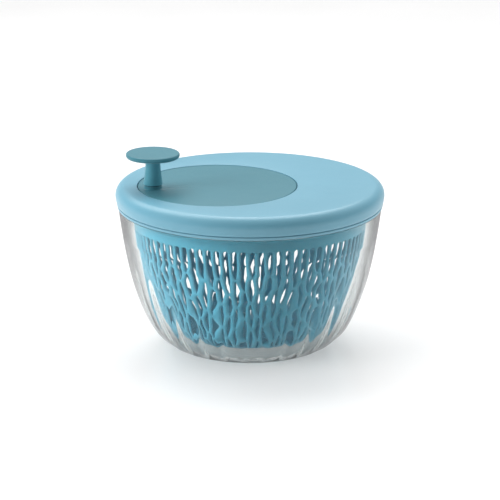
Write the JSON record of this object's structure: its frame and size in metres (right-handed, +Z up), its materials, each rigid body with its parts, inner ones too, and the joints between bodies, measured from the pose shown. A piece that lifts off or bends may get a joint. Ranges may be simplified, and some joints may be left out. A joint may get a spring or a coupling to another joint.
{
  "type": "salad spinner",
  "caption": "Round salad spinner: a clear bowl, a slotted basket on a pivot, and a geared lid whose flush crank disc carries a mushroom knob near its edge.",
  "frame": {"origin": "the middle of the bowl's foot, on the table, on the bowl's axis", "axes": "+Z is up, along the axis that the basket turns on. -X points from the bowl's axis to the axis of the crank disc, and at rest on to the knob. +Y completes a right-handed frame."},
  "size_m": [0.26, 0.26, 0.1947],
  "materials": {
    "bowl_clear": "clear moulded plastic, polished",
    "basket_plastic": "light blue-teal moulded plastic, satin",
    "lid_plastic": "light blue moulded plastic, satin",
    "crank_plastic": "grey-teal moulded plastic, satin",
    "drive_plastic": "light blue moulded plastic, satin",
    "gear_acetal": "natural white acetal, moulded",
    "bearing_acetal": "natural white acetal, moulded",
    "fixing_steel": "stainless steel, bright"
  },
  "bodies": {
    "bowl": {"bowl": "bowl_clear"},
    "basket_pivot": {"basket_bearing": "bearing_acetal"},
    "basket": {"basket": "basket_plastic"},
    "lid": {"lid_cover": "lid_plastic", "lid_underplate": "lid_plastic", "crank_bush": "bearing_acetal", "upper_shaft_bush": "bearing_acetal", "lower_shaft_bush": "bearing_acetal", "underplate_screw_1": "fixing_steel", "underplate_screw_2": "fixing_steel", "underplate_screw_3": "fixing_steel", "underplate_screw_4": "fixing_steel"},
    "crank": {"crank_disc": "crank_plastic", "ring_gear": "gear_acetal", "crank_washer": "fixing_steel", "crank_screw": "fixing_steel", "knob_screw": "fixing_steel", "knob_washer": "fixing_steel", "ring_gear_screw_1": "fixing_steel", "ring_gear_screw_2": "fixing_steel", "ring_gear_screw_3": "fixing_steel", "ring_gear_screw_4": "fixing_steel"},
    "knob": {"knob_grip": "crank_plastic", "knob_cap": "crank_plastic"},
    "driver": {"drive_pinion": "gear_acetal", "drive_plate": "drive_plastic", "drive_plate_washer": "fixing_steel", "drive_plate_screw": "fixing_steel"}
  },
  "joints": [
    {"name": "lid_lift", "type": "slide", "parent": "bowl", "child": "lid", "axis": [0, 0, 1], "range_m": [0, 0.3]},
    {"name": "crank_spin", "type": "hinge", "parent": "lid", "child": "crank", "pos_m": [-0.032, 0, 0.157], "axis": [0, 0, 1], "continuous": true},
    {"name": "knob_spin", "type": "hinge", "parent": "crank", "child": "knob", "pos_m": [-0.0945, 0, 0.175], "axis": [0, 0, 1], "continuous": true},
    {"name": "driver_spin", "type": "hinge", "parent": "lid", "child": "driver", "pos_m": [0, 0, 0.15], "axis": [0, 0, 1], "continuous": true},
    {"name": "basket_lift", "type": "slide", "parent": "bowl", "child": "basket_pivot", "axis": [0, 0, 1], "range_m": [0, 0.145]},
    {"name": "basket_spin", "type": "hinge", "parent": "basket_pivot", "child": "basket", "pos_m": [0, 0, 0.02], "axis": [0, 0, 1], "continuous": true}
  ],
  "couplings": [
    {"joint": "driver_spin", "follows": "crank_spin", "ratio": 3},
    {"joint": "basket_spin", "follows": "crank_spin", "ratio": 3},
    {"joint": "basket_lift", "follows": "lid_lift", "ratio": 0.47}
  ]
}
